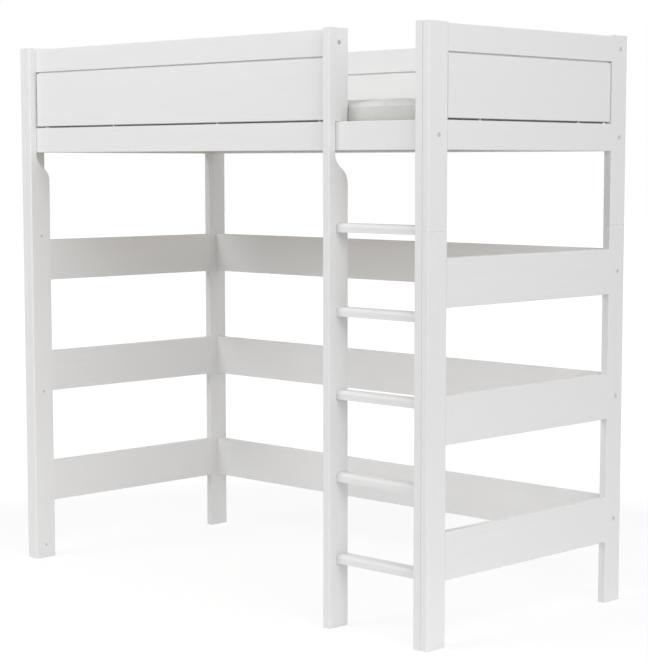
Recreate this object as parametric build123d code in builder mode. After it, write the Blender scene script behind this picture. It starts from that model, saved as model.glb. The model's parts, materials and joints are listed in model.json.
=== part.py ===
from build123d import *
import os

# Loft bed of lacquered boards for a 900 x 2000 mm mattress.
# Millimetres, +Z up, origin on the floor under the middle of the bed.
# +X runs along the bed to the ladder end, -Y is the front with the ladder.

os.makedirs("parts", exist_ok=True)

# Overall size
length = 2070.0
width = 1020.0
height = 1956.0

# Board sections
post_thick = 28.0  # corner posts and end boards, along X
post_deep = 87.0  # corner posts and stiles, along Y
stile_thick = 30.0  # filler stile and ladder stiles, along X
rail_thick = 25.0  # long rails and boards, along Y
rail_inset = 28.0  # long rails stand back from the front and back faces

# Guard and bed rail, from the top down
top_drop = 4.0  # top rails below the posts' tops
top_rail_high = 86.0
line_gap = 6.0  # shadow gaps over and under the panels
panel_high = 197.0
bed_rail_high = 92.0
panel_end_gap = 4.8
panel_shift = 3.6  # end and front panels sit this much towards the ladder's corner
tongue_thick = 8.0  # a tongue on each panel closes its upper gap and enters the top rail
tongue_in = 8.0
tongue_play = 0.3

# Joint in the posts and the lower boards under it
joint_drop = 251.0  # joint below the bed rails' lower edges
board_high = 155.0
board_first_z = 215.0
board_last_drop = 82.0  # upper edge of the highest board below the joint
board_count = 3

# Ladder
ladder_clear = 368.0  # clear width between the ladder's two stiles
rung_deep = 53.0
rung_high = 30.0
rung_set_back = 33.0  # rung's front behind the stile's front
rung_first_z = 231.0  # middle of the lowest rung
rung_last_drop = 248.0  # middle of the highest rung below the bed rail
rung_count = 5
rung_housing = 12.0  # how far a rung's end goes into its stile
rung_play = 0.25
notch_play = 1.5  # notch over the top of the bed rail
curve_high = 104.0  # height of the S-curve below the bed rail
curve_drop = 5.0  # straight neck between the rail and the curve

# Slatted base and mattress
ledge_wide = 25.0
ledge_high = 25.0
ledge_lift = 3.0  # ledge above the bed rail's lower edge
ledge_play = 3.0
slat_wide = 75.0
slat_thick = 18.0
slat_count = 14
slat_end_play = 5.0  # slat ends to the rails
slat_field_play = 10.0  # first and last slat to the end rails
tape_wide = 25.0
tape_thick = 1.0
tape_offset = 210.0  # the two tapes, left and right of the middle
mattress_thick = 120.0
mattress_end_play = 12.0  # mattress to the end panels
mattress_play = 5.0  # mattress to the ladder stile and to the back rail
mattress_clear = 0.3
mattress_corner = 40.0
mattress_edge = 22.0

# Rounded edges
corner_round = 6.0
stile_round = 4.0  # front edges of the stiles, and of the posts beside them
board_round = 2.5
post_round = 2.0  # posts' edges away from their front or back face
fine_round = 1.2
rim_round = 1.8  # ends of posts and legs, which leave a fine groove at their joint
rung_top_round = 13.0
rung_low_round = 4.0

# Bolts with barrel nuts, which hold the long rails to the posts
bolt_r = 3.0
bolt_hole_r = 3.4
bolt_long = 73.0
bolt_point = 0.75  # chamfer on the bolt's tip
front_bolt_back = 5.0  # bolts of the front rails stand behind the rails' middle
bolt_head_r = 7.5
bolt_head_thick = 2.5
bore_r = 8.0
bore_deep = 3.5
hex_r = 2.6
hex_deep = 1.6
nut_in = 42.0  # nut's axis from the rail's end
nut_r = 5.0
nut_hole_r = 5.3
nut_bore_r = 3.1
nut_long = 15.0
hole_past = 1.0  # a blind hole goes this far past what it takes

# Countersunk screws, for stiles and ledges
screw_r = 2.5
screw_long = 48.0
screw_head_r = 5.5
screw_sink = 0.4
ledge_screw_r = 2.0
ledge_screw_long = 38.0
ledge_screw_head_r = 4.0
ledge_screw_count = 7
ledge_screw_end = 74.0  # last screw from the ledge's end
screw_hex_r = 1.8
screw_play = 0.25
stile_screw_low = 50.0  # lowest screw above the floor
stile_screw_mid = 650.0
stile_screw_drop = 67.0  # highest screw below the joint in the posts
stile_screw_y = 45.0  # from the stile's front face
neck_screw_off = 30.0  # above and below the middle of the bed rail

# Beech dowels
dowel_r = 5.0
dowel_long = 60.0
dowel_play = 0.1
dowel_chamfer = 0.8
dowel_edge = 20.0  # end dowels from a board's edges
post_dowel_off = 20.0
guard_pitch = 560.0  # dowels between bed rails and panels, along the bed
guard_shift = 34.0  # the front guard's row stands off the middle
guard_edge = 52.0  # last dowel from a panel's end
guard_clear = 100.0  # inner dowels stay this far from a panel's end
end_guard_y = 255.0
near = 1.0  # how close two places are to count as the same

# Places that follow from the sizes
x_out = length / 2
x_in = x_out - post_thick
y_out = width / 2
y_post = y_out - post_deep
y_rail_out = y_out - rail_inset
y_rail_in = y_rail_out - rail_thick
y_rail_mid = (y_rail_out + y_rail_in) / 2
bolt_y = {-1: -y_rail_mid + front_bolt_back, 1: y_rail_mid}
x_stile = x_in - stile_thick
ladder_x = x_stile - ladder_clear - stile_thick
top_rail_z = height - top_drop - top_rail_high
panel_top = top_rail_z - line_gap
panel_z = panel_top - panel_high
bed_rail_top = panel_z - line_gap
bed_rail_z = bed_rail_top - bed_rail_high
bed_rail_mid = bed_rail_z + bed_rail_high / 2
top_rail_mid = top_rail_z + top_rail_high / 2
notch_z = bed_rail_top + notch_play
dowel_gap = bed_rail_top + line_gap / 2
joint_z = bed_rail_z - joint_drop
board_last_z = joint_z - board_last_drop - board_high
board_pitch = (board_last_z - board_first_z) / (board_count - 1)
board_heights = [board_first_z + i * board_pitch for i in range(board_count)]
rung_pitch = (bed_rail_z - rung_last_drop - rung_first_z) / (rung_count - 1)
rung_heights = [rung_first_z + i * rung_pitch for i in range(rung_count)]
stile_screw_z = (stile_screw_low, stile_screw_mid, joint_z - stile_screw_drop)
post_mid_x = x_out - post_thick / 2
post_mid_y = y_out - post_deep / 2
ledge_z = bed_rail_z + ledge_lift
slat_z = ledge_z + ledge_high
slat_top = slat_z + slat_thick
slat_pitch = (2 * (x_in - slat_field_play) - slat_wide) / (slat_count - 1)
bolt_rows_front = [bed_rail_mid]
bolt_rows_back = [z + board_high / 2 for z in board_heights] + [bed_rail_mid, top_rail_mid]


# Helpers
def save(piece, name):
    piece.part.label = name
    export_step(piece.part, f"parts/{name}.step")


def block(x_span, y_span, z_span, mode=Mode.ADD):
    # A box between two limits on each axis, added to the part being built or cut from it
    spans = (x_span, y_span, z_span)
    middle = tuple((low + high) / 2 for low, high in spans)
    with Locations(middle):
        Box(*(high - low for low, high in spans), mode=mode)


def tongue_share(thickness, play):
    # The tongue's two faces within a board's thickness
    middle = sum(thickness) / 2
    half = tongue_thick / 2 + play
    return (middle - half, middle + half)


def tongue_rise(z, high):
    return (z + high, z + high + line_gap + tongue_in)


def groove_rise(z):
    return (z, z + tongue_in + tongue_play)


def drill(point, outward, radius, depth):
    # A round hole from a point on a face, against the face's outward direction
    with Locations(Plane(origin=point, z_dir=outward)):
        Hole(radius=radius, depth=depth)


def bore(point, outward, depth):
    # A bolt hole whose mouth takes the bolt's head below the surface
    with Locations(Plane(origin=point, z_dir=outward)):
        CounterBoreHole(bolt_hole_r, bore_r, bore_deep, depth)


def sink(point, outward, radius, head_radius, depth):
    # A screw hole with a cone for the screw's head
    with Locations(Plane(origin=point, z_dir=outward)):
        CounterSinkHole(radius + screw_play, head_radius + screw_play, depth, counter_sink_angle=90)


def nut_pocket(x_end, side, y_face, y_side, z):
    # The bolt's hole in a rail's end and the nut's cross hole from one face
    # side is -1 or 1 for the end, y_side is -1 or 1 for the face's outward direction
    y = bolt_y[1 if y_face > 0 else -1]
    drill((x_end, y, z), (side, 0, 0), bolt_hole_r, bolt_long)
    depth = abs(y_face - y) + nut_long / 2 + hole_past
    drill((x_end - side * nut_in, y_face, z), (0, y_side, 0), nut_hole_r, depth)


def within(rows, low, high):
    return [z for z in rows if low < z < high]


def spread(count, pitch):
    return [(i - (count - 1) / 2) * pitch for i in range(count)]


# Corner posts: each is an upper post and a leg, pinned at the joint
def end_members():
    # Lower edge and height of every board that runs between two posts at an end
    boards = [(z, board_high) for z in board_heights]
    return boards + [(bed_rail_z, bed_rail_high), (top_rail_z, top_rail_high)]


def member_dowels(z, high):
    return [z + dowel_edge, z + high - dowel_edge]


def post_section(side_x, side_y, low, high):
    with BuildPart() as post:
        xs = sorted((side_x * x_in, side_x * x_out))
        ys = sorted((side_y * y_post, side_y * y_out))
        block(xs, ys, (low, high))
        upright = post.edges().filter_by(Axis.Z)
        facing = [edge for edge in upright if abs(edge.center().Y) > post_mid_y]
        facing.sort(key=lambda edge: abs(edge.center().X))
        behind = [edge for edge in upright if abs(edge.center().Y) < post_mid_y]
        fillet(facing[1], corner_round)
        fillet(facing[0], stile_round)
        fillet(behind, post_round)
        rims = post.faces().sort_by(Axis.Z)[-1].edges() + post.faces().sort_by(Axis.Z)[0].edges()
        fillet(rims, rim_round)
        rows = bolt_rows_front if side_y < 0 else bolt_rows_back
        for z in within(rows, low, high):
            bore((side_x * x_out, bolt_y[side_y], z), (side_x, 0, 0), post_thick)
        for z, member_high in end_members():
            for row in within(member_dowels(z, member_high), low, high):
                point = (side_x * post_mid_x, side_y * y_post, row)
                drill(point, (0, -side_y, 0), dowel_r + dowel_play, dowel_long / 2 + hole_past)
        joint_up = 1 if high == joint_z else -1
        for off in (-post_dowel_off, post_dowel_off):
            point = (side_x * post_mid_x, side_y * post_mid_y + off, joint_z)
            drill(point, (0, 0, joint_up), dowel_r + dowel_play, dowel_long / 2 + hole_past)
        if side_y < 0:
            for z in within(stile_screw_z, low, high):
                point = (side_x * x_in, -y_out + stile_screw_y, z)
                drill(point, (-side_x, 0, 0), screw_r + screw_play, screw_long - stile_thick + hole_past)
    return post


corners = {"front_left": (-1, -1), "front_right": (1, -1), "back_left": (-1, 1), "back_right": (1, 1)}
for corner_name, (side_x, side_y) in corners.items():
    save(post_section(side_x, side_y, 0, joint_z), f"leg_{corner_name}")
    save(post_section(side_x, side_y, joint_z, height), f"post_{corner_name}")


# Boards between two posts at an end, flush with the posts' outer faces
def end_board(side_x, z, high, play, shift, has_dowels, edge):
    # edge is "tongue", "groove" or "plain"
    half = y_post - play
    xs = sorted((side_x * x_in, side_x * x_out))
    ys = (-half - shift, half - shift)
    with BuildPart() as board:
        block(xs, ys, (z, z + high))
        fillet(board.edges().filter_by(Axis.Y), board_round)
        if edge == "tongue":
            block(tongue_share(xs, 0), ys, tongue_rise(z, high))
        if edge == "groove":
            block(tongue_share(xs, tongue_play), ys, groove_rise(z), Mode.SUBTRACT)
        if has_dowels:
            for side_y in (-1, 1):
                for row in member_dowels(z, high):
                    point = (side_x * post_mid_x, side_y * half, row)
                    drill(point, (0, side_y, 0), dowel_r + dowel_play, dowel_long / 2 + hole_past)
        if abs(dowel_gap - z) < line_gap or abs(dowel_gap - z - high) < line_gap:
            up = 1 if dowel_gap > z + high / 2 else -1
            edge_z = z + high if up > 0 else z
            for y in (-end_guard_y, end_guard_y):
                point = (side_x * post_mid_x, y, edge_z)
                drill(point, (0, 0, up), dowel_r + dowel_play, dowel_long / 2)
    return board


for end_name, side_x in (("left", -1), ("right", 1)):
    save(end_board(side_x, bed_rail_z, bed_rail_high, 0, 0, True, "plain"), f"{end_name}_bed_rail")
    panel = end_board(side_x, panel_z, panel_high, panel_end_gap, panel_shift, False, "tongue")
    save(panel, f"{end_name}_panel")
    save(end_board(side_x, top_rail_z, top_rail_high, 0, 0, True, "groove"), f"{end_name}_top_rail")
    for i, z in enumerate(board_heights):
        save(end_board(side_x, z, board_high, 0, 0, True, "plain"), f"{end_name}_board_{i + 1}")


# Long rails, panels and boards, set back from the posts' faces
def guard_rows(x_low, x_high, middle, pitch):
    inner = within((middle - pitch, middle, middle + pitch), x_low + guard_clear, x_high - guard_clear)
    return [x_low + guard_edge] + inner + [x_high - guard_edge]


front_guard_rows = guard_rows(-x_stile, ladder_x, guard_shift, guard_pitch)
back_guard_rows = guard_rows(-x_in, x_in, 0, guard_pitch)


def long_board(x_span, side_y, z, high, dowel_rows, nut_face, edge):
    # nut_face is 1 where the nuts go in from outside the bed, -1 from inside and 0 for no bolts
    # edge is "tongue", "groove" or "plain"
    ys = sorted((side_y * y_rail_in, side_y * y_rail_out))
    with BuildPart() as board:
        block(x_span, ys, (z, z + high))
        fillet(board.edges().filter_by(Axis.X), board_round)
        if edge == "tongue":
            block(x_span, tongue_share(ys, 0), tongue_rise(z, high))
        if edge == "groove":
            block(x_span, tongue_share(ys, tongue_play), groove_rise(z), Mode.SUBTRACT)
        if nut_face:
            face = side_y * (y_rail_out if nut_face > 0 else y_rail_in)
            for x_end, side in zip(x_span, (-1, 1)):
                nut_pocket(x_end, side, face, side_y * nut_face, z + high / 2)
        up = 1 if dowel_gap > z + high / 2 else -1
        for x in dowel_rows:
            point = (x, side_y * y_rail_mid, z + high if up > 0 else z)
            drill(point, (0, 0, up), dowel_r + dowel_play, dowel_long / 2)
    return board


inner_span = (-x_in, x_in)
guard_span = (-x_stile, ladder_x)
panel_span = (-x_in + panel_end_gap, x_in - panel_end_gap)
guard_panel_low = -x_stile + panel_end_gap + panel_shift
guard_panel_span = (guard_panel_low, ladder_x - panel_end_gap + panel_shift)
ledge_half = x_in - ledge_play
ledge_screw_pitch = 2 * (ledge_half - ledge_screw_end) / (ledge_screw_count - 1)
ledge_screw_rows = spread(ledge_screw_count, ledge_screw_pitch)
ledge_mid_z = ledge_z + ledge_high / 2


def bed_rail(side_y, dowel_rows):
    # A long bottom rail with pilot holes for the screws of its ledge
    rail = long_board(inner_span, side_y, bed_rail_z, bed_rail_high, dowel_rows, -1, "plain")
    with rail:
        for x in ledge_screw_rows:
            point = (x, side_y * y_rail_in, ledge_mid_z)
            pilot = ledge_screw_long - ledge_wide + hole_past
            drill(point, (0, -side_y, 0), ledge_screw_r + screw_play, pilot)
    return rail


save(bed_rail(1, back_guard_rows), "back_bed_rail")
save(long_board(panel_span, 1, panel_z, panel_high, back_guard_rows, 0, "tongue"), "back_panel")
save(long_board(inner_span, 1, top_rail_z, top_rail_high, [], -1, "groove"), "back_top_rail")
for i, z in enumerate(board_heights):
    save(long_board(inner_span, 1, z, board_high, [], 1, "plain"), f"back_board_{i + 1}")
save(long_board(guard_panel_span, -1, panel_z, panel_high, front_guard_rows, 0, "tongue"), "front_panel")
save(long_board(guard_span, -1, top_rail_z, top_rail_high, [], -1, "groove"), "front_top_rail")

stile_spans = {
    "filler_stile": (-x_in, -x_stile),
    "ladder_stile_left": (ladder_x, ladder_x + stile_thick),
    "ladder_stile_right": (x_stile, x_in),
}


def stile_middle(name):
    return sum(stile_spans[name]) / 2


front_bed_rail = bed_rail(-1, front_guard_rows)
with front_bed_rail:
    for stile_name in stile_spans:
        for off in (-neck_screw_off, neck_screw_off):
            point = (stile_middle(stile_name), -y_rail_in, bed_rail_mid + off)
            sink(point, (0, 1, 0), screw_r, screw_head_r, rail_thick)
save(front_bed_rail, "front_bed_rail")


# Stiles: deep boards with a neck that passes in front of the bed rail
curve_top = bed_rail_z - curve_drop
curve_low = curve_top - curve_high


def rung_section(z, play):
    # One rung's section in the YZ plane, grown by the play
    with Locations((-y_out + rung_set_back + rung_deep / 2, z)):
        outline = Rectangle(rung_deep + 2 * play, rung_high + 2 * play)
    corners_up = outline.vertices().sort_by(Axis.Y)
    fillet(corners_up[-2:], rung_top_round)
    fillet(corners_up[:2], rung_low_round)


def on_back(edge):
    # The upright edges behind the neck, without the notch and the two ends
    y = edge.center().Y
    z = edge.center().Z
    return y > -y_rail_out - near and abs(z - notch_z) > near and near < z < height - near


def stile(name, rung_sides, head_side, screw_side):
    # rung_sides: faces with rung housings; head_side: face with the guard bolt's head
    x_low, x_high = stile_spans[name]
    faces = {-1: x_low, 1: x_high}
    with BuildPart() as board:
        with BuildSketch(Plane.YZ.offset(x_low)):
            with BuildLine():
                middle = (-(y_post + y_rail_out) / 2, (curve_low + curve_top) / 2)
                low_curve = TangentArc((-y_post, curve_low), middle, tangent=(0, 1))
                TangentArc(middle, (-y_rail_out, curve_top), tangent=low_curve % 1)
                Polyline(
                    (-y_rail_out, curve_top),
                    (-y_rail_out, notch_z),
                    (-y_post, notch_z),
                    (-y_post, height),
                    (-y_out, height),
                    (-y_out, 0),
                    (-y_post, 0),
                    (-y_post, curve_low),
                )
            make_face()
        extrude(amount=x_high - x_low)
        front = board.edges().filter_by(Axis.Z).group_by(Axis.Y)[0]
        fillet(front, stile_round)
        fillet(board.faces().filter_by(Axis.X).edges().filter_by(on_back), fine_round)
        for side in rung_sides:
            with BuildSketch(Plane.YZ.offset(faces[side])):
                for z in rung_heights:
                    rung_section(z, rung_play)
            extrude(amount=-side * rung_housing, mode=Mode.SUBTRACT)
        if head_side:
            bore((faces[head_side], bolt_y[-1], top_rail_mid), (head_side, 0, 0), stile_thick)
        if screw_side:
            for z in stile_screw_z:
                point = (faces[screw_side], -y_out + stile_screw_y, z)
                sink(point, (screw_side, 0, 0), screw_r, screw_head_r, stile_thick)
        for off in (-neck_screw_off, neck_screw_off):
            point = ((x_low + x_high) / 2, -y_rail_out, bed_rail_mid + off)
            drill(point, (0, 1, 0), screw_r + screw_play, screw_long - rail_thick + hole_past)
    return board


save(stile("filler_stile", (), -1, 1), "filler_stile")
save(stile("ladder_stile_left", (1,), 1, 0), "ladder_stile_left")
save(stile("ladder_stile_right", (-1,), 0, -1), "ladder_stile_right")


# Rungs, let into the stiles at both ends
def rung(z):
    with BuildPart() as tread:
        with BuildSketch(Plane.YZ.offset(ladder_x + stile_thick - rung_housing)):
            rung_section(z, 0)
        extrude(amount=ladder_clear + 2 * rung_housing)
    return tread


for i, z in enumerate(rung_heights):
    save(rung(z), f"rung_{i + 1}")


# Ledges on the long rails' inner faces carry the slats
def ledge(side_y):
    ys = sorted((side_y * (y_rail_in - ledge_wide), side_y * y_rail_in))
    with BuildPart() as strip:
        block((-ledge_half, ledge_half), ys, (ledge_z, ledge_z + ledge_high))
        fillet(strip.edges().filter_by(Axis.X), fine_round)
        for x in ledge_screw_rows:
            point = (x, side_y * (y_rail_in - ledge_wide), ledge_mid_z)
            sink(point, (0, -side_y, 0), ledge_screw_r, ledge_screw_head_r, ledge_wide)
    return strip


save(ledge(-1), "ledge_front")
save(ledge(1), "ledge_back")


# Slats across the bed, held at their spacing by two tapes
slat_rows = spread(slat_count, slat_pitch)
slat_half = y_rail_in - slat_end_play
for i, x in enumerate(slat_rows):
    with BuildPart() as slat:
        block((x - slat_wide / 2, x + slat_wide / 2), (-slat_half, slat_half), (slat_z, slat_top))
        fillet(slat.edges().filter_by(Axis.Y), board_round)
    save(slat, f"slat_{i + 1:02d}")

with BuildPart() as slat_tapes:
    for y in (-tape_offset, tape_offset):
        xs = (slat_rows[0] - slat_wide / 4, slat_rows[-1] + slat_wide / 4)
        block(xs, (y - tape_wide / 2, y + tape_wide / 2), (slat_z - tape_thick, slat_z))
save(slat_tapes, "slat_tapes")

# Mattress, a plain closed cushion between the ladder stile and the back rail
mattress_front = -y_post + mattress_play
mattress_back = y_rail_in - mattress_play
mattress_z = slat_top + mattress_clear
mattress_half = x_in - mattress_end_play
mattress_span = (-mattress_half, mattress_half)
with BuildPart() as mattress:
    block(mattress_span, (mattress_front, mattress_back), (mattress_z, mattress_z + mattress_thick))
    fillet(mattress.edges().filter_by(Axis.Z), mattress_corner)
    rims = mattress.faces().sort_by(Axis.Z)[0].edges() + mattress.faces().sort_by(Axis.Z)[-1].edges()
    fillet(rims, mattress_edge)
save(mattress, "mattress")

# Bolts: the head lies in the counterbore, the tip passes the barrel nut
with BuildPart() as bolt:
    with Locations((0, 0, -bore_deep + bolt_head_thick / 2)):
        Cylinder(bolt_head_r, bolt_head_thick)
    with Locations((0, 0, -bore_deep - bolt_long / 2)):
        Cylinder(bolt_r, bolt_long)
    with BuildSketch(Plane.XY.offset(-bore_deep + bolt_head_thick)):
        RegularPolygon(hex_r, 6)
    extrude(amount=-hex_deep, mode=Mode.SUBTRACT)
    chamfer(bolt.edges().sort_by(Axis.Z)[0], bolt_point)

bolt_heads = []
for side_x in (-1, 1):
    for z in bolt_rows_front:
        bolt_heads.append((side_x * x_out, bolt_y[-1], z, side_x))
    for z in bolt_rows_back:
        bolt_heads.append((side_x * x_out, bolt_y[1], z, side_x))
bolt_heads.append((-x_in, bolt_y[-1], top_rail_mid, -1))
bolt_heads.append((ladder_x + stile_thick, bolt_y[-1], top_rail_mid, 1))

with BuildPart() as frame_bolts:
    with Locations(*(Plane(origin=(x, y, z), z_dir=(side, 0, 0)) for x, y, z, side in bolt_heads)):
        add(bolt.part)
save(frame_bolts, "frame_bolts")

# Barrel nuts, one for each bolt, across the rail on the bolt's line
with BuildPart() as nut:
    Cylinder(nut_r, nut_long)
    with Locations(Plane(origin=(nut_r, 0, 0), z_dir=(1, 0, 0))):
        Hole(nut_bore_r, depth=2 * nut_r)

nut_places = []
for x, y, z, side in bolt_heads:
    clamped = post_thick if abs(x) == x_out else stile_thick
    nut_places.append((x - side * (clamped + nut_in), y, z))
with BuildPart() as barrel_nuts:
    with Locations(*(Plane(origin=place, x_dir=(1, 0, 0), z_dir=(0, 1, 0)) for place in nut_places)):
        add(nut.part)
save(barrel_nuts, "barrel_nuts")


# Countersunk screws, drawn with the head up and the point down
def screw(radius, screw_length, head_radius):
    with BuildPart() as fastener:
        with BuildSketch(Plane.XZ):
            with BuildLine():
                Polyline(
                    (0, -screw_sink),
                    (head_radius - screw_sink, -screw_sink),
                    (radius, radius - head_radius),
                    (radius, -screw_length + 2 * radius),
                    (0, -screw_length),
                    close=True,
                )
            make_face()
        revolve(axis=Axis.Z)
        with BuildSketch(Plane.XY.offset(-screw_sink)):
            RegularPolygon(screw_hex_r, 6)
        extrude(amount=-hex_deep, mode=Mode.SUBTRACT)
    return fastener


screw_places = []
for z in stile_screw_z:
    screw_places.append(Plane(origin=(-x_stile, -y_out + stile_screw_y, z), z_dir=(1, 0, 0)))
    screw_places.append(Plane(origin=(x_stile, -y_out + stile_screw_y, z), z_dir=(-1, 0, 0)))
for stile_name in stile_spans:
    for off in (-neck_screw_off, neck_screw_off):
        point = (stile_middle(stile_name), -y_rail_in, bed_rail_mid + off)
        screw_places.append(Plane(origin=point, z_dir=(0, 1, 0)))
stile_screw = screw(screw_r, screw_long, screw_head_r)
with BuildPart() as stile_screws:
    with Locations(*screw_places):
        add(stile_screw.part)
save(stile_screws, "stile_screws")

ledge_places = []
for side_y in (-1, 1):
    for x in ledge_screw_rows:
        point = (x, side_y * (y_rail_in - ledge_wide), ledge_mid_z)
        ledge_places.append(Plane(origin=point, z_dir=(0, -side_y, 0)))
ledge_screw = screw(ledge_screw_r, ledge_screw_long, ledge_screw_head_r)
with BuildPart() as ledge_screws:
    with Locations(*ledge_places):
        add(ledge_screw.part)
save(ledge_screws, "ledge_screws")

# Beech dowels: end boards to posts, upper posts to legs, panels to bed rails
dowel_places = []
for side_x in (-1, 1):
    for side_y in (-1, 1):
        for z, member_high in end_members():
            for row in member_dowels(z, member_high):
                point = (side_x * post_mid_x, side_y * y_post, row)
                dowel_places.append(Plane(origin=point, z_dir=(0, 1, 0)))
        for off in (-post_dowel_off, post_dowel_off):
            point = (side_x * post_mid_x, side_y * post_mid_y + off, joint_z)
            dowel_places.append(Plane(origin=point, z_dir=(0, 0, 1)))
for x in front_guard_rows:
    dowel_places.append(Plane(origin=(x, -y_rail_mid, dowel_gap), z_dir=(0, 0, 1)))
for x in back_guard_rows:
    dowel_places.append(Plane(origin=(x, y_rail_mid, dowel_gap), z_dir=(0, 0, 1)))
for side_x in (-1, 1):
    for y in (-end_guard_y, end_guard_y):
        dowel_places.append(Plane(origin=(side_x * post_mid_x, y, dowel_gap), z_dir=(0, 0, 1)))

with BuildPart() as dowel:
    Cylinder(dowel_r, dowel_long)
    chamfer(dowel.edges().filter_by(GeomType.CIRCLE), dowel_chamfer)
with BuildPart() as wood_dowels:
    with Locations(*dowel_places):
        add(dowel.part)
save(wood_dowels, "wood_dowels")
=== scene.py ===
import json
import math
import random

import bpy
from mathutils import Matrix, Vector


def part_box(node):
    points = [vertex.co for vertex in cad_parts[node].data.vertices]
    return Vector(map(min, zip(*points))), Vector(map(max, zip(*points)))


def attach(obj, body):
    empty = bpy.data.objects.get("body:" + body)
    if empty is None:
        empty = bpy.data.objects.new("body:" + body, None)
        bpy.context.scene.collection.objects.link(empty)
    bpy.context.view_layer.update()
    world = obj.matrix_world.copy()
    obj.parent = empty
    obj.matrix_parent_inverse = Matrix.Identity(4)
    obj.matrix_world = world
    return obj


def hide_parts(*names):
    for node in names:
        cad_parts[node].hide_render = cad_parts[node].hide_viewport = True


# Loft bed of lacquered boards, with a ladder and a foam mattress.
# Metres, +Z up. The front faces -Y and the ladder stands at its +X end.

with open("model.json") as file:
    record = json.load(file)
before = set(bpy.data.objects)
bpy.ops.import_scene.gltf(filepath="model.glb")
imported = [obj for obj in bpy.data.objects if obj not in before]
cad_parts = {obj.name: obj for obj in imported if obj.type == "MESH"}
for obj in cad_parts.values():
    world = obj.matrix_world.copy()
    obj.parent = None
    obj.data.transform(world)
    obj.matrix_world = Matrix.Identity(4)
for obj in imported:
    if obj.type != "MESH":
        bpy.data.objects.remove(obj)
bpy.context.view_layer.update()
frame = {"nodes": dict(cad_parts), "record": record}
nodes = frame["nodes"]
print("frame loaded,", len(nodes), "nodes")


# Helpers

def linear(hexColour):  # sRGB hex to the linear values that a shader takes
    shares = [int(hexColour[i:i + 2], 16) / 255 for i in (1, 3, 5)]
    return [c / 12.92 if c <= 0.04045 else ((c + 0.055) / 1.055) ** 2.4 for c in shares] + [1]


def addNode(tree, kind, settings=None, values=None, links=None):
    node = tree.nodes.new(kind)
    for name, value in (settings or {}).items():
        setattr(node, name, value)
    for socket, value in (values or {}).items():
        node.inputs[socket].default_value = value
    for socket, source in (links or {}).items():
        tree.links.new(source, node.inputs[socket])
    return node


mixA, mixB, mixResult = 6, 7, 2  # the colour sockets of a mix node, which share names with others
bumpStrength = 0.6
near = 1e-6  # two places closer than this are the same


def newMaterial(name):  # an empty node tree with its output, to be filled by the caller
    material = bpy.data.materials.new(name)
    material.use_nodes = True
    material.node_tree.nodes.clear()
    return material, material.node_tree


def smooth(share):
    share = min(max(share, 0), 1)
    return share * share * (3 - 2 * share)


def dress(nodeName, material):  # the whole CAD node in one material
    slots = nodes[nodeName].data.materials
    slots.clear()
    slots.append(material)


# Materials

# Solid wood boards, planed, filled and sprayed with white semi-matt lacquer.
# The eye gets an even white with a soft broad sheen. The grain only telegraphs as
# long faint waves along each board, and the spray leaves a fine orange peel.
lacquer = {
    "white": "#EDEDED",
    "shade": "#E9E9E9",
    "ior": 1.5,
    "roughLow": 0.38,
    "roughHigh": 0.5,
    "grainWide": 0.014,  # width of a grain wave across the board
    "grainLong": 0.5,
    "grainDepth": 0.00012,
    "peelSize": 0.005,  # really 1 to 3 mm, drawn coarser so that it shows
    "peelDepth": 0.00003,
}


def sprayedLacquer(axis):
    material, tree = newMaterial("sprayedLacquer" + "XYZ"[axis])
    stretch = [1 / lacquer["grainWide"]] * 3
    stretch[axis] = 1 / lacquer["grainLong"]
    place = addNode(tree, "ShaderNodeTexCoord").outputs["Object"]
    along = addNode(tree, "ShaderNodeMapping", {}, {"Scale": stretch}, {"Vector": place})
    grain = addNode(tree, "ShaderNodeTexNoise", {}, {"Scale": 1, "Detail": 3, "Distortion": 0.4},
                    {"Vector": along.outputs["Vector"]})
    peel = addNode(tree, "ShaderNodeTexNoise", {}, {"Scale": 1 / lacquer["peelSize"], "Detail": 1},
                   {"Vector": place})
    tone = addNode(tree, "ShaderNodeMix", {"data_type": "RGBA"},
                   {mixA: linear(lacquer["shade"]), mixB: linear(lacquer["white"])},
                   {"Factor": grain.outputs["Fac"]})
    rough = addNode(tree, "ShaderNodeMapRange", {},
                    {"To Min": lacquer["roughLow"], "To Max": lacquer["roughHigh"]},
                    {"Value": grain.outputs["Fac"]})
    waves = addNode(tree, "ShaderNodeBump", {},
                    {"Strength": bumpStrength, "Distance": lacquer["grainDepth"]},
                    {"Height": grain.outputs["Fac"]})
    skin = addNode(tree, "ShaderNodeBump", {},
                   {"Strength": bumpStrength, "Distance": lacquer["peelDepth"]},
                   {"Height": peel.outputs["Fac"], "Normal": waves.outputs["Normal"]})
    shader = addNode(tree, "ShaderNodeBsdfPrincipled", {}, {"IOR": lacquer["ior"]},
                     {"Base Color": tone.outputs[mixResult], "Roughness": rough.outputs["Result"],
                      "Normal": skin.outputs["Normal"]})
    addNode(tree, "ShaderNodeOutputMaterial", {}, {}, {"Surface": shader.outputs["BSDF"]})
    return material


# Pine and beech, planed and left raw: growth rings run as lines along the piece,
# the summer wood darker, and the open surface has hardly any sheen.
pine = {
    "name": "planedPine",
    "pale": "#E7CFA4",
    "dark": "#C99A5F",
    "ringWide": 0.011,
    "ringLong": 0.9,
    "roughness": 0.62,
    "fibreDepth": 0.0002,
}
beech = {  # the guard's dowels show in the lower shadow gap, where the spray has covered them
    "name": "turnedBeech",
    "pale": "#D9B88C",
    "dark": "#B88C5E",
    "ringWide": 0.003,
    "ringLong": 0.03,
    "roughness": 0.6,
    "fibreDepth": 0.0001,
}


ringDark, ringPale = 0.35, 0.6  # how much of the ring pattern is summer wood and spring wood


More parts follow.
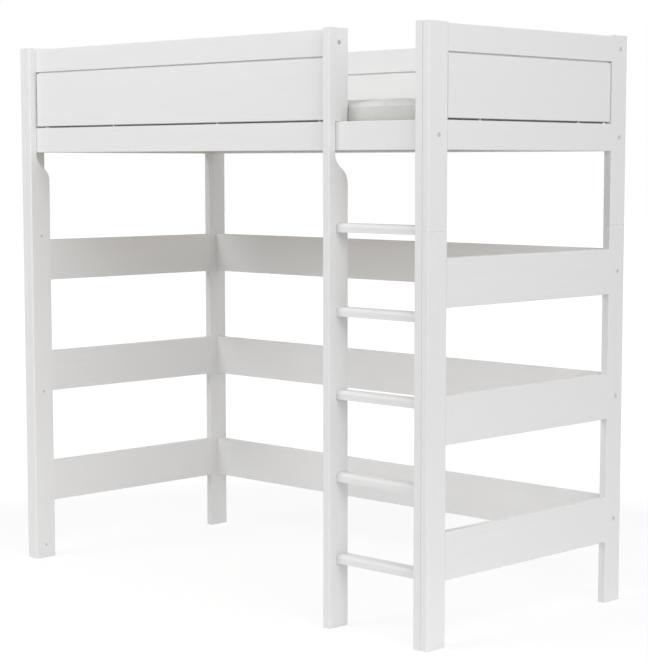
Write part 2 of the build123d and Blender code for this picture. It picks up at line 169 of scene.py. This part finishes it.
def rawWood(wood, axis, sprayed=None):  # sprayed: the two heights between which it is lacquered
    material, tree = newMaterial(wood["name"] + "XYZ"[axis])
    stretch = [1 / wood["ringWide"]] * 3
    stretch[axis] = 1 / wood["ringLong"]
    place = addNode(tree, "ShaderNodeTexCoord").outputs["Object"]
    along = addNode(tree, "ShaderNodeMapping", {}, {"Scale": stretch}, {"Vector": place})
    rings = addNode(tree, "ShaderNodeTexNoise", {}, {"Scale": 1, "Detail": 4, "Distortion": 1.2},
                    {"Vector": along.outputs["Vector"]})
    fibre = addNode(tree, "ShaderNodeTexNoise", {}, {"Scale": 6, "Detail": 2},
                    {"Vector": along.outputs["Vector"]})
    tone = addNode(tree, "ShaderNodeValToRGB", {}, {}, {"Fac": rings.outputs["Fac"]})
    tone.color_ramp.elements[0].position = ringDark
    tone.color_ramp.elements[0].color = linear(wood["dark"])
    tone.color_ramp.elements[1].position = ringPale
    tone.color_ramp.elements[1].color = linear(wood["pale"])
    bump = addNode(tree, "ShaderNodeBump", {},
                   {"Strength": bumpStrength, "Distance": wood["fibreDepth"]},
                   {"Height": fibre.outputs["Fac"]})
    colour = tone.outputs["Color"]
    if sprayed:
        up = addNode(tree, "ShaderNodeSeparateXYZ", {}, {}, {"Vector": place}).outputs["Z"]
        gap = addNode(tree, "ShaderNodeMath", {"operation": "COMPARE"},
                      {1: sum(sprayed) / 2, 2: (sprayed[1] - sprayed[0]) / 2}, {0: up})
        colour = addNode(tree, "ShaderNodeMix", {"data_type": "RGBA"}, {mixB: linear(lacquer["white"])},
                         {"Factor": gap.outputs["Value"], mixA: colour}).outputs[mixResult]
    shader = addNode(tree, "ShaderNodeBsdfPrincipled", {},
                     {"IOR": 1.5, "Roughness": wood["roughness"]},
                     {"Base Color": colour, "Normal": bump.outputs["Normal"]})
    addNode(tree, "ShaderNodeOutputMaterial", {}, {}, {"Surface": shader.outputs["BSDF"]})
    return material


# Zinc-plated steel bolts, nuts and screws: a pale blue-grey metal, a little cloudy
# from the plating, so reflections are soft.
zinc = {
    "pale": "#DCDDDE",
    "dark": "#BFC0C2",
    "cloudSize": 0.004,
    "roughLow": 0.28,
    "roughHigh": 0.45,
}


def zincPlatedSteel():
    material, tree = newMaterial("zincPlatedSteel")
    place = addNode(tree, "ShaderNodeTexCoord").outputs["Object"]
    cloud = addNode(tree, "ShaderNodeTexNoise", {}, {"Scale": 1 / zinc["cloudSize"], "Detail": 3},
                    {"Vector": place})
    tone = addNode(tree, "ShaderNodeMix", {"data_type": "RGBA"},
                   {mixA: linear(zinc["dark"]), mixB: linear(zinc["pale"])},
                   {"Factor": cloud.outputs["Fac"]})
    rough = addNode(tree, "ShaderNodeMapRange", {},
                    {"To Min": zinc["roughLow"], "To Max": zinc["roughHigh"]},
                    {"Value": cloud.outputs["Fac"]})
    shader = addNode(tree, "ShaderNodeBsdfPrincipled", {}, {"Metallic": 1},
                     {"Base Color": tone.outputs[mixResult], "Roughness": rough.outputs["Result"]})
    addNode(tree, "ShaderNodeOutputMaterial", {}, {}, {"Surface": shader.outputs["BSDF"]})
    return material


# Woven cloths. The weave is three crossed waves, one along each axis, so that it shows on
# every side of a piece.
# Knitted ticking over foam: a matt off-white with a soft edge glow from its loops.
ticking = {
    "name": "knittedTicking",
    "pale": "#E6E6E4",
    "dark": "#D5D5D2",
    "thread": 0.003,  # loops are really 1 mm wide, drawn coarser so that they show
    "threadDepth": 0.0005,
    "patch": 0.09,
    "roughness": 0.92,
    "sheen": 0.25,
    "borderPaintedShade": "#F7F7F6",  # painted shade: the plain border below the seam is multiplied a shade darker, standing in for the less light it gets than the rolled top
}
# Polyester tape that spaces the slats: flat, tight and a little shiny.
tape = {
    "name": "wovenTape",
    "pale": "#E6E3DA",
    "dark": "#CFCABD",
    "thread": 0.0025,
    "threadDepth": 0.0003,
    "patch": 0.05,
    "roughness": 0.7,
    "sheen": 0.1,
}
clothBump = 0.5
weaveShare = 0.6  # how much the weave counts in the colour, beside the larger patches
waveRepeat = math.pi / 10  # metres that a wave of scale 1 takes to repeat


def wovenCloth(cloth, seamHeight=None):
    material, tree = newMaterial(cloth["name"])
    place = addNode(tree, "ShaderNodeTexCoord").outputs["Object"]
    weave = None
    for axis in "XYZ":
        wave = addNode(tree, "ShaderNodeTexWave", {"bands_direction": axis},
                       {"Scale": waveRepeat / cloth["thread"], "Distortion": 0.6, "Detail": 1},
                       {"Vector": place})
        if weave is None:
            weave = wave.outputs["Fac"]
        else:
            weave = addNode(tree, "ShaderNodeMath", {"operation": "MULTIPLY"}, {},
                            {0: weave, 1: wave.outputs["Fac"]}).outputs["Value"]
    patch = addNode(tree, "ShaderNodeTexNoise", {}, {"Scale": 1 / cloth["patch"], "Detail": 3},
                    {"Vector": place})
    mixed = addNode(tree, "ShaderNodeMath", {"operation": "MULTIPLY_ADD"}, {1: weaveShare},
                    {0: weave, 2: patch.outputs["Fac"]})
    tone = addNode(tree, "ShaderNodeMix", {"data_type": "RGBA"},
                   {mixA: linear(cloth["dark"]), mixB: linear(cloth["pale"])},
                   {"Factor": mixed.outputs["Value"]})
    colour = tone.outputs[mixResult]
    # Painted shade: below the seam the colour is multiplied darker, so the plain border reads as lying
    # in less light than the rolled top edge
    if seamHeight is not None:
        up = addNode(tree, "ShaderNodeSeparateXYZ", {}, {}, {"Vector": place}).outputs["Z"]
        paintedShadeBelow = addNode(tree, "ShaderNodeMath", {"operation": "LESS_THAN"}, {1: seamHeight}, {0: up})
        colour = addNode(tree, "ShaderNodeMix", {"data_type": "RGBA", "blend_type": "MULTIPLY"},
                         {mixB: linear(cloth["borderPaintedShade"])},
                         {"Factor": paintedShadeBelow.outputs["Value"], mixA: colour}).outputs[mixResult]
    bump = addNode(tree, "ShaderNodeBump", {},
                   {"Strength": clothBump, "Distance": cloth["threadDepth"]},
                   {"Height": weave})
    shader = addNode(tree, "ShaderNodeBsdfPrincipled", {},
                     {"Roughness": cloth["roughness"], "Sheen Weight": cloth["sheen"]},
                     {"Base Color": colour, "Normal": bump.outputs["Normal"]})
    addNode(tree, "ShaderNodeOutputMaterial", {}, {}, {"Surface": shader.outputs["BSDF"]})
    return material


# Every board takes the lacquer with the grain along its longest side
lacquered = [sprayedLacquer(axis) for axis in range(3)]
planedPine = [rawWood(pine, axis) for axis in range(3)]
dowelZ = nodes["wood_dowels"].matrix_world.translation.z
guardGap = (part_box("back_bed_rail")[1].z - dowelZ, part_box("back_panel")[0].z - dowelZ)
turnedBeech = rawWood(beech, 2, guardGap)
platedSteel = zincPlatedSteel()
slotOf = {part["node"]: part["material_slot"] for part in frame["record"]["subparts"]}
for nodeName in nodes:
    low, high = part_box(nodeName)
    size = high - low
    longest = max(range(3), key=lambda axis: size[axis])
    finish = {
        "white_lacquer": lacquered[longest],
        "pine": planedPine[longest],
        "beech": turnedBeech,
        "zinc_steel": platedSteel,
    }.get(slotOf[nodeName])
    if finish:
        dress(nodeName, finish)
dress("slat_tapes", wovenCloth(tape))
print("boards, slats and fasteners dressed")


# Camera, at the place worked out from the corners of the bed in the photograph

cameraPlace = {
    "position": (4.84776, -4.82231, 1.52079),
    "turn": 44.23,  # degrees from looking along +Y, towards -X
    "tilt": -5.851,
    "lens": 100.54,  # millimetres, on a 36 mm sensor
    "sensor": 36,
    "shift": (-0.0212, 0.0306),  # the photograph is cropped a little off its middle
}
cameraData = bpy.data.cameras.new("camera")
cameraData.lens = cameraPlace["lens"]
cameraData.sensor_width = cameraPlace["sensor"]
cameraData.shift_x, cameraData.shift_y = cameraPlace["shift"]
camera = bpy.data.objects.new("camera", cameraData)
camera.location = cameraPlace["position"]
camera.rotation_euler = (math.radians(90 + cameraPlace["tilt"]), 0, math.radians(cameraPlace["turn"]))
bpy.context.scene.collection.objects.link(camera)
bpy.context.scene.camera = camera


# Stage: a white floor in white surroundings, soft patches of light from three sides and
# two soft lamps in front

studio = {
    "floorHalf": 40,
    "floorNear": "#F4F4F4",  # the light that the floor gives back is white round the bed
    "floorFar": "#AAAAAA",  # and falls off to grey beyond
    "floorReach": 1.8,
    "floorFade": 0.8,
    "floorShare": 0.2,  # how much of the floor's real shading the camera sees, near the bed
    "floorGlow": 1.05,
    "surround": 0.0,  # even light from all around
    "spread": 2.0,  # how narrow each of the soft patches is
    "patches": [  # direction that each soft patch of light comes from, and its strength
        ((1, 0, 0.15), 1.3),
        ((-1, 0, 1), 0.58),
        ((-0.4, 1, 0.3), 0.3),
    ],
    "lampSize": 3.5,
    "lampAim": (0, 0, 1.0),
    "lamps": {  # place and power of each soft lamp
        "softKey": ((-1.5, -5.0, 4.2), 175),
        "softFill": ((5.0, -2.0, 4.2), 113),
    },
}


def seenDirectly(tree):  # 1 for what the camera sees, also in gloss and through glass
    rays = addNode(tree, "ShaderNodeLightPath")
    seen = addNode(tree, "ShaderNodeMath", {"operation": "MAXIMUM"}, {},
                   {0: rays.outputs["Is Camera Ray"], 1: rays.outputs["Is Glossy Ray"]})
    return addNode(tree, "ShaderNodeMath", {"operation": "MAXIMUM"}, {},
                   {0: seen.outputs["Value"], 1: rays.outputs["Is Transmission Ray"]}).outputs["Value"]


def makeFloor():
    half = studio["floorHalf"]
    mesh = bpy.data.meshes.new("floor")
    mesh.from_pydata([(-half, -half, 0), (half, -half, 0), (half, half, 0), (-half, half, 0)], [],
                     [(0, 1, 2, 3)])
    floor = bpy.data.objects.new("floor", mesh)
    bpy.context.scene.collection.objects.link(floor)
    material, tree = newMaterial("whiteStudioFloor")
    seen = seenDirectly(tree)
    place = addNode(tree, "ShaderNodeTexCoord").outputs["Object"]
    away = addNode(tree, "ShaderNodeVectorMath", {"operation": "LENGTH"}, {}, {0: place})
    reach = studio["floorReach"]
    fade = addNode(tree, "ShaderNodeMapRange", {"interpolation_type": "SMOOTHSTEP"},
                   {"From Min": reach, "From Max": reach + studio["floorFade"]},
                   {"Value": away.outputs["Value"]})
    given = addNode(tree, "ShaderNodeMix", {"data_type": "RGBA"},
                    {mixA: linear(studio["floorNear"]), mixB: linear(studio["floorFar"])},
                    {"Factor": fade.outputs["Result"]})
    colour = addNode(tree, "ShaderNodeMix", {"data_type": "RGBA"},
                     {mixB: linear(studio["floorNear"])},
                     {"Factor": seen, mixA: given.outputs[mixResult]})
    paint = addNode(tree, "ShaderNodeBsdfDiffuse", {}, {}, {"Color": colour.outputs[mixResult]})
    glow = addNode(tree, "ShaderNodeEmission", {}, {"Strength": studio["floorGlow"]})
    white = addNode(tree, "ShaderNodeMapRange", {},
                    {"To Min": 1 - studio["floorShare"], "To Max": 1},
                    {"Value": fade.outputs["Result"]})
    share = addNode(tree, "ShaderNodeMath", {"operation": "MULTIPLY"}, {},
                    {0: seen, 1: white.outputs["Result"]})
    mix = addNode(tree, "ShaderNodeMixShader", {}, {},
                  {0: share.outputs["Value"], 1: paint.outputs["BSDF"], 2: glow.outputs["Emission"]})
    addNode(tree, "ShaderNodeOutputMaterial", {}, {}, {"Surface": mix.outputs["Shader"]})
    mesh.materials.append(material)


def makeWorld():
    world = bpy.data.worlds.new("whiteSurround")
    bpy.context.scene.world = world
    world.use_nodes = True
    tree = world.node_tree
    tree.nodes.clear()
    sky = addNode(tree, "ShaderNodeTexCoord").outputs["Generated"]
    given = None
    for direction, power in studio["patches"]:
        facing = addNode(tree, "ShaderNodeVectorMath", {"operation": "DOT_PRODUCT"},
                         {1: Vector(direction).normalized()}, {0: sky}).outputs["Value"]
        front = addNode(tree, "ShaderNodeMath", {"operation": "MAXIMUM"}, {1: 0}, {0: facing})
        patch = addNode(tree, "ShaderNodeMath", {"operation": "POWER"}, {1: studio["spread"]},
                        {0: front.outputs["Value"]})
        total = addNode(tree, "ShaderNodeMath", {"operation": "MULTIPLY_ADD"},
                        {1: power, 2: studio["surround"]}, {0: patch.outputs["Value"]})
        if given:
            tree.links.new(given, total.inputs[2])
        given = total.outputs["Value"]
    strength = addNode(tree, "ShaderNodeMix", {}, {"B": 1},
                       {"Factor": seenDirectly(tree), "A": given})
    light = addNode(tree, "ShaderNodeBackground", {}, {"Color": (1, 1, 1, 1)},
                    {"Strength": strength.outputs["Result"]})
    addNode(tree, "ShaderNodeOutputWorld", {}, {}, {"Surface": light.outputs["Background"]})


def makeLamp(name, place, power):
    lamp = bpy.data.lights.new(name, "AREA")
    lamp.size = studio["lampSize"]
    lamp.energy = power
    holder = bpy.data.objects.new(name, lamp)
    holder.location = place
    aim = Vector(studio["lampAim"]) - holder.location
    holder.rotation_euler = aim.to_track_quat("-Z", "Y").to_euler()
    bpy.context.scene.collection.objects.link(holder)


makeFloor()
makeWorld()
for lampName, (place, power) in studio["lamps"].items():
    makeLamp(lampName, place, power)
bpy.context.scene.view_settings.view_transform = "Standard"
print("stage, light and camera placed")


# Mattress: foam in a knitted cover. The top is sewn across in channels and rolls over the
# edge to a seam, the border below it is plain, and each channel's end pulls in as a tuck.

mattress = {
    "cell": 0.0125,
    "lineRoom": 0.4,  # share of a cell that stays free beside an extra line
    "corner": 0.034,  # in plan
    "edge": 0.027,  # where the cover rolls over, down to its seam
    "borderDrop": 0.010,  # the top is lower at its border
    "crownReach": 0.16,
    "sideShare": 12,  # the sides' own shaping is in this part of half the width
    "endShare": 24,  # and of half the length
    "pullIn": 0.002,
    "frontBulge": 0.009,  # between the stiles the foam comes this far forward
    "stileDent": 0.016,  # half the width of the dent behind a stile
    "dentFade": 0.002,
    "channelPitch": 0.125,
    "channelFirst": 0.018,  # one channel's place from the middle
    "channelEnd": 0.06,  # no channel comes closer to an end
    "channelDeep": 0.003,
    "channelWide": 0.012,
    "channelLine": 0.004,  # extra lines this far beside a channel
    "puff": 0.002,  # between two channels
    "seamDeep": 0.0012,
    "seamWide": 0.002,
    "seamLine": 0.003,  # extra lines this far beside the seam
    "tuckDeep": 0.006,
    "tuckWide": 0.0035,
    "tuckLong": 0.034,  # down from the top
    "tuckLean": 0.003,
    "leanWide": 0.02,
    "leanSeed": 4,
    "pressure": 4.0,
    "frames": 20,
    "quality": 4,
    "cap": 0.004,
    "clear": 0.0015,  # least room left to the boards round it
}
mattressLow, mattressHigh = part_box("mattress")
middle = (mattressLow + mattressHigh) / 2
half = (mattressHigh - mattressLow) / 2
stileFaces = [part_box(name) for name in ("filler_stile", "ladder_stile_left", "ladder_stile_right")]
stileMiddles = [(low.x + high.x) / 2 - middle.x for low, high in stileFaces]
stileBack = max(high.y for low, high in stileFaces) - middle.y
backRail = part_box("back_bed_rail")[0].y - middle.y
seamZ = half.z - mattress["edge"]
channelCount = int((half.x - mattress["channelEnd"]) / mattress["channelPitch"])
channels = [mattress["channelFirst"] + i * mattress["channelPitch"]
            for i in range(-channelCount, channelCount + 1)]
channels = [x for x in channels if abs(x) < half.x - mattress["channelEnd"]]
lean = random.Random(mattress["leanSeed"])
leans = [lean.uniform(-1, 1) * mattress["tuckLean"] for x in channels]


def gridLines(halfSize, marks):  # a line per cell, moved aside where the marks need their own
    cell = mattress["cell"]
    count = round(2 * halfSize / cell)
    evenly = [-halfSize + 2 * halfSize * i / count for i in range(count + 1)]
    marks = [x for x in marks if abs(x) < halfSize - cell / 2]
    room = cell * mattress["lineRoom"]
    kept = [x for x in evenly if abs(x) == halfSize or all(abs(x - m) > room for m in marks)]
    return sorted(kept + marks)


def roundedCorner(a, b):  # a square quarter, as far out as it was, bent into a round one
    reach = math.hypot(a, b)
    if reach == 0:
        return a, b
    scale = max(abs(a), abs(b)) / reach
    return a * scale, b * scale


def padPoint(x, y, z):
    # One point of a box's surface, about its middle, moved onto the rounded pad
    corner, edge = mattress["corner"], mattress["edge"]
    inset = min(half.x - abs(x), half.y - abs(y))
    outX = max(abs(x) - (half.x - corner), 0)
    outY = max(abs(y) - (half.y - corner), 0)
    roundX, roundY = roundedCorner(outX, outY)
    px = min(abs(x), half.x - corner) + roundX
    py = min(abs(y), half.y - corner) + roundY
    if outX > 0 and outY > 0:
        reach = math.hypot(roundX, roundY)
        away = Vector((roundX / reach, roundY / reach))
    elif half.x - abs(x) < half.y - abs(y):
        away = Vector((1, 0))
    else:
        away = Vector((0, 1))
    rise = abs(z) - (half.z - edge)
    if inset < edge and rise > 0:
        a, b = roundedCorner(edge - inset, rise)
        px += away.x * (a - (edge - inset))
        py += away.y * (a - (edge - inset))
        z = math.copysign(half.z - edge + b, z)
    return Vector((math.copysign(px, x), math.copysign(py, y), z))


def bell(distance, wide):
    return math.exp(-(distance / wide) ** 2)


def shapePad(x, y, z):
    p = padPoint(x, y, z)
    inset = min(half.x - abs(x), half.y - abs(y))
    alongX = 1 - (p.x / half.x) ** 2
    alongY = 1 - (p.y / half.y) ** 2
    toEdge = smooth(inset / mattress["crownReach"])
    index = min(range(len(channels)), key=lambda i: abs(p.x - channels[i]))
    off = p.x - channels[index]
    sewn = bell(off, mattress["channelWide"])
    swell = 1 - min(abs(off) / (mattress["channelPitch"] / 2), 1)
    moved = Vector(p)
    if z == half.z:  # the sewn top
        moved.z -= mattress["borderDrop"] * (1 - toEdge)
        moved.z += mattress["puff"] * (1 - swell ** 2) * smooth(inset / mattress["edge"])
        moved.z -= mattress["channelDeep"] * sewn
    elif z > 0:
        moved.z -= mattress["borderDrop"] * smooth(p.z / half.z)
    side = smooth(abs(p.y) / half.y * mattress["sideShare"] - (mattress["sideShare"] - 1))
    ends = smooth(abs(p.x) / half.x * mattress["endShare"] - (mattress["endShare"] - 1))
    moved.y -= math.copysign(mattress["pullIn"] * alongX, p.y) * side
    moved.x -= math.copysign(mattress["pullIn"] * alongY, p.x) * ends
    if p.y < 0:
        free = min(abs(p.x - x) for x in stileMiddles) - mattress["stileDent"]
        moved.y -= mattress["frontBulge"] * smooth(free / mattress["dentFade"] + 0.5) * side
    # The tuck where a channel meets the seam, and the seam's own groove
    down = half.z - p.z
    tuck = side * smooth(2 - 2 * down / mattress["tuckLong"]) * bell(off, mattress["tuckWide"])
    seamWide = mattress["seamWide"]
    groove = max(bell(p.z - seamZ, seamWide), bell(p.z + seamZ, seamWide)) if inset == 0 else 0
    moved.y -= math.copysign(mattress["tuckDeep"] * tuck + mattress["seamDeep"] * groove * side, p.y)
    moved.x -= math.copysign(mattress["seamDeep"] * groove * ends, p.x)
    share = bell(off, mattress["leanWide"]) * min(down / mattress["tuckLong"], 1)
    moved.x += leans[index] * side * share
    return moved


def makePad():
    dent, fade = mattress["stileDent"], mattress["dentFade"] / 2
    beside, above = mattress["channelLine"], mattress["seamLine"]
    channelMarks = [x + off for x in channels for off in (-beside, 0, beside)]
    dentMarks = [x + way * (dent + off)
                 for x in stileMiddles for way in (-1, 1) for off in (-fade, fade)]
    seamMarks = [way * (seamZ + off) for way in (-1, 1) for off in (-above, 0, above)]
    xs = gridLines(half.x, channelMarks + dentMarks)
    ys = gridLines(half.y, [])
    zs = gridLines(half.z, seamMarks)
    nx, ny, nz = len(xs) - 1, len(ys) - 1, len(zs) - 1
    found, points, faces, sewn = {}, [], [], []

    def at(i, j, k):
        if (i, j, k) not in found:
            found[i, j, k] = len(points)
            x, y, z = xs[i], ys[j], zs[k]
            points.append(shapePad(x, y, z))
            onSeam = abs(abs(z) - seamZ) < near
            onChannel = z > seamZ and any(abs(x - c) < near for c in channels)
            byStile = y < 0 and min(abs(x - s) for s in stileMiddles) < dent + 2 * fade
            if z < -seamZ or onSeam or onChannel or byStile:
                sewn.append(found[i, j, k])
        return found[i, j, k]

    for i in range(nx):
        for j in range(ny):
            faces.append((at(i, j, 0), at(i, j + 1, 0), at(i + 1, j + 1, 0), at(i + 1, j, 0)))
            faces.append((at(i, j, nz), at(i + 1, j, nz), at(i + 1, j + 1, nz), at(i, j + 1, nz)))
        for k in range(nz):
            faces.append((at(i, 0, k), at(i + 1, 0, k), at(i + 1, 0, k + 1), at(i, 0, k + 1)))
            faces.append((at(i, ny, k), at(i, ny, k + 1), at(i + 1, ny, k + 1), at(i + 1, ny, k)))
    for j in range(ny):
        for k in range(nz):
            faces.append((at(0, j, k), at(0, j, k + 1), at(0, j + 1, k + 1), at(0, j + 1, k)))
            faces.append((at(nx, j, k), at(nx, j + 1, k), at(nx, j + 1, k + 1), at(nx, j, k + 1)))
    mesh = bpy.data.meshes.new("mattress_cover")
    mesh.from_pydata(points, [], faces)
    pad = bpy.data.objects.new("mattress_cover", mesh)
    bpy.context.scene.collection.objects.link(pad)
    pad.location = middle
    pad.vertex_groups.new(name="sewn").add(sewn, 1, "REPLACE")
    return pad


def swellPad(pad):  # the foam pushes the cover out between its seams
    cloth = pad.modifiers.new("swell", "CLOTH")
    cloth.settings.use_pressure = True
    cloth.settings.uniform_pressure_force = mattress["pressure"]
    cloth.settings.effector_weights.gravity = 0
    cloth.settings.vertex_group_mass = "sewn"
    cloth.settings.quality = mattress["quality"]
    cloth.collision_settings.use_collision = False
    cloth.point_cache.frame_end = mattress["frames"]
    for step in range(1, mattress["frames"] + 1):
        bpy.context.scene.frame_set(step)
    swollen = pad.evaluated_get(bpy.context.evaluated_depsgraph_get()).data
    ends = [point.co.copy() for point in swollen.vertices]
    pad.modifiers.clear()
    bpy.context.scene.frame_set(1)
    for point, end in zip(pad.data.vertices, ends):
        move = end - point.co
        point.co += move * min(1, mattress["cap"] / max(move.length, near))


def keepClear(pad):  # what the swelling pushed too near a board goes back
    clear = mattress["clear"]
    for point in pad.data.vertices:
        nearest = min(abs(point.co.x - x) for x in stileMiddles)
        if nearest < mattress["stileDent"] - mattress["dentFade"] / 2:
            point.co.y = max(point.co.y, stileBack + clear)
        point.co.y = min(point.co.y, backRail - clear)


pad = makePad()
swellPad(pad)
keepClear(pad)
pad.data.shade_smooth()
pad.modifiers.new("smoother", "SUBSURF").levels = 1
pad.modifiers["smoother"].render_levels = 1
print("mattress cover made,", len(pad.data.vertices), "points")
# the cover's border below the seam gets its painted shade here
pad.data.materials.append(wovenCloth(ticking, seamZ))
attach(pad, "mattress")
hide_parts("mattress")
